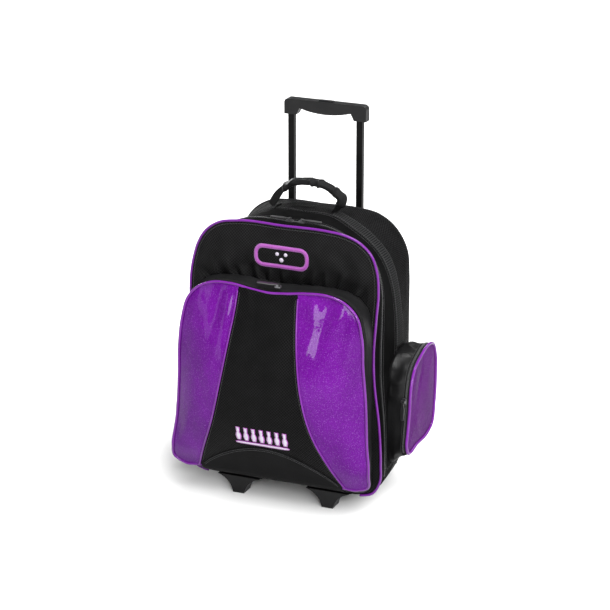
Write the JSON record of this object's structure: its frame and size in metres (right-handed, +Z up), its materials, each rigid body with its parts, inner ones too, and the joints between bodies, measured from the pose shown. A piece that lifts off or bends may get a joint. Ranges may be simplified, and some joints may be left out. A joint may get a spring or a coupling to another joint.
{
  "type": "bowling ball bag",
  "caption": "Wheeled upright bowling ball bag with a lid zipped round the main compartment, a crowned front pocket, side pockets, a pull-up handle and a carry handle.",
  "frame": {"origin": "middle of the bottom of the bag's bounding box, on the floor it stands on", "axes": "+Z up, the front pocket faces -Y, X across the bag"},
  "size_m": [0.506, 0.346, 0.774],
  "materials": {
    "dobby_black": "black dobby-weave polyester, matt with a soft sheen",
    "plain_black": "plain black polyester",
    "vinyl_purple": "high-gloss purple vinyl with fine glitter",
    "piping_purple": "glossy purple piping",
    "moulded_black": "moulded black plastic, fine grain",
    "board_black": "stiff black plastic sheet",
    "foam_grey": "charcoal foam",
    "webbing_black": "black ribbed polyester webbing",
    "zip_black": "black zip tape with a black coil",
    "slider_black": "black enamelled metal, semi-gloss",
    "tube_black": "black powder-coated tube",
    "steel": "zinc-plated steel",
    "tyre_black": "soft black rubber",
    "hub_grey": "moulded dark grey plastic",
    "thread_purple": "purple embroidery thread",
    "thread_lilac": "pale lilac embroidery thread"
  },
  "bodies": {
    "bag_shell": {"zip_gusset": "plain_black", "rear_gusset": "dobby_black", "back_panel": "plain_black", "back_board": "board_black", "base_plate": "board_black", "ball_cup": "foam_grey", "zip_tape_rear": "zip_black", "webbing_straps": "webbing_black", "side_gussets": "plain_black", "side_zips": "zip_black", "feet": "moulded_black", "wheel_housings": "moulded_black", "axles": "steel", "outer_tubes": "tube_black", "bezel": "moulded_black", "bottom_bracket": "moulded_black", "tube_cover": "plain_black", "frame_screws": "steel"},
    "lid": {"front_panel": "dobby_black", "front_gusset": "plain_black", "zip_tape_front": "zip_black", "main_piping": "piping_purple", "badge": "thread_purple", "pocket_gusset": "plain_black", "pocket_zip": "zip_black"},
    "pocket_flap": {"pocket_centre_panel": "dobby_black", "pocket_side_panels": "vinyl_purple", "flap_band": "plain_black", "pocket_piping": "piping_purple", "seam_welts": "piping_purple", "emblem": "thread_lilac"},
    "side_flap_right": {"side_panel_right": "vinyl_purple", "side_piping_right": "piping_purple"},
    "side_flap_left": {"side_panel_left": "vinyl_purple", "side_piping_left": "piping_purple"},
    "trolley": {"grip_front": "moulded_black", "grip_rear": "moulded_black", "grip_screws": "steel", "inner_tubes": "tube_black", "lock_blocks": "moulded_black"},
    "release": {"push_button": "moulded_black", "release_yoke": "moulded_black", "release_rods": "steel"},
    "lock_pin_right": {"lock_pin_right": "steel"},
    "lock_pin_left": {"lock_pin_left": "steel"},
    "wheel_right": {"wheel_hub_right": "hub_grey", "tyre_right": "tyre_black"},
    "wheel_left": {"wheel_hub_left": "hub_grey", "tyre_left": "tyre_black"},
    "carry_handle": {"carry_handle": "webbing_black"},
    "slider_main_left": {"slider_main_left": "slider_black"},
    "pull_main_left": {"pull_main_left": "slider_black"},
    "slider_main_right": {"slider_main_right": "slider_black"},
    "pull_main_right": {"pull_main_right": "slider_black"},
    "slider_pocket": {"slider_pocket": "slider_black"},
    "pull_pocket": {"pull_pocket": "slider_black"},
    "slider_side_right": {"slider_side_right": "slider_black"},
    "pull_side_right": {"pull_side_right": "slider_black"},
    "slider_side_left": {"slider_side_left": "slider_black"},
    "pull_side_left": {"pull_side_left": "slider_black"}
  },
  "joints": [
    {"name": "lid_hinge", "type": "hinge", "parent": "bag_shell", "child": "lid", "pos_m": [0, -0.05505, 0.038], "axis": [1, 0, 0], "range_deg": [0, 42]},
    {"name": "pocket_flap_hinge", "type": "hinge", "parent": "lid", "child": "pocket_flap", "pos_m": [0, -0.1132, 0.068], "axis": [1, 0, 0], "range_deg": [0, 30]},
    {"name": "side_flap_right_hinge", "type": "hinge", "parent": "bag_shell", "child": "side_flap_right", "pos_m": [0.25, 0.04295, 0.127], "axis": [0, 1, 0], "range_deg": [0, 100]},
    {"name": "side_flap_left_hinge", "type": "hinge", "parent": "bag_shell", "child": "side_flap_left", "pos_m": [-0.25, 0.04295, 0.127], "axis": [0, -1, 0], "range_deg": [0, 100]},
    {"name": "trolley_slide", "type": "slide", "parent": "bag_shell", "child": "trolley", "axis": [0, 0, 1], "range_m": [-0.193, 0.195]},
    {"name": "button_press", "type": "slide", "parent": "trolley", "child": "release", "axis": [0, 0, -1], "range_m": [0, 0.005], "stiffness_N_per_m": 800, "springref_m": -0.004},
    {"name": "lock_pin_right_slide", "type": "slide", "parent": "trolley", "child": "lock_pin_right", "axis": [-1, 0, 0], "range_m": [0, 0.002]},
    {"name": "lock_pin_left_slide", "type": "slide", "parent": "trolley", "child": "lock_pin_left", "axis": [1, 0, 0], "range_m": [0, 0.002]},
    {"name": "wheel_right_spin", "type": "hinge", "parent": "bag_shell", "child": "wheel_right", "pos_m": [0.14, 0.13795, 0.033], "axis": [1, 0, 0], "continuous": true},
    {"name": "wheel_left_spin", "type": "hinge", "parent": "bag_shell", "child": "wheel_left", "pos_m": [-0.14, 0.13795, 0.033], "axis": [1, 0, 0], "continuous": true},
    {"name": "carry_handle_fold", "type": "hinge", "parent": "bag_shell", "child": "carry_handle", "pos_m": [0, 0.05995, 0.5889], "axis": [1, 0, 0], "range_deg": [-80, 80]},
    {"name": "slider_main_left_slide", "type": "slide", "parent": "lid", "child": "slider_main_left", "axis": [-1, 0, 0], "range_m": [0, 0.09]},
    {"name": "slider_main_right_slide", "type": "slide", "parent": "lid", "child": "slider_main_right", "axis": [1, 0, 0], "range_m": [0, 0.065]},
    {"name": "pull_main_left_swing", "type": "hinge", "parent": "slider_main_left", "child": "pull_main_left", "pos_m": [0.002, -0.02705, 0.5836], "axis": [0, 1, 0], "range_deg": [0, 90]},
    {"name": "pull_main_right_swing", "type": "hinge", "parent": "slider_main_right", "child": "pull_main_right", "pos_m": [0.027, -0.02705, 0.5836], "axis": [0, -1, 0], "range_deg": [0, 90]},
    {"name": "slider_pocket_slide", "type": "slide", "parent": "lid", "child": "slider_pocket", "axis": [1, 0, 0], "range_m": [-0.12, 0.1]},
    {"name": "pull_pocket_swing", "type": "hinge", "parent": "slider_pocket", "child": "pull_pocket", "pos_m": [0.014, -0.11205, 0.47599], "axis": [0, 1, 0], "range_deg": [0, 160]},
    {"name": "slider_side_right_slide", "type": "slide", "parent": "bag_shell", "child": "slider_side_right", "axis": [0, -0.0779, -0.997], "range_m": [-0.035, 0.06]},
    {"name": "pull_side_right_swing", "type": "hinge", "parent": "slider_side_right", "child": "pull_side_right", "pos_m": [0.2388, -0.01746, 0.23253], "axis": [-0.9521, 0.305, -0.0238], "range_deg": [0, 110]},
    {"name": "slider_side_left_slide", "type": "slide", "parent": "bag_shell", "child": "slider_side_left", "axis": [0, -0.0779, -0.997], "range_m": [-0.035, 0.06]},
    {"name": "pull_side_left_swing", "type": "hinge", "parent": "slider_side_left", "child": "pull_side_left", "pos_m": [-0.2388, -0.01746, 0.23253], "axis": [-0.9521, -0.305, 0.0238], "range_deg": [0, 110]}
  ],
  "couplings": [
    {"joint": "lock_pin_right_slide", "follows": "button_press", "ratio": 0.4},
    {"joint": "lock_pin_left_slide", "follows": "button_press", "ratio": 0.4}
  ]
}
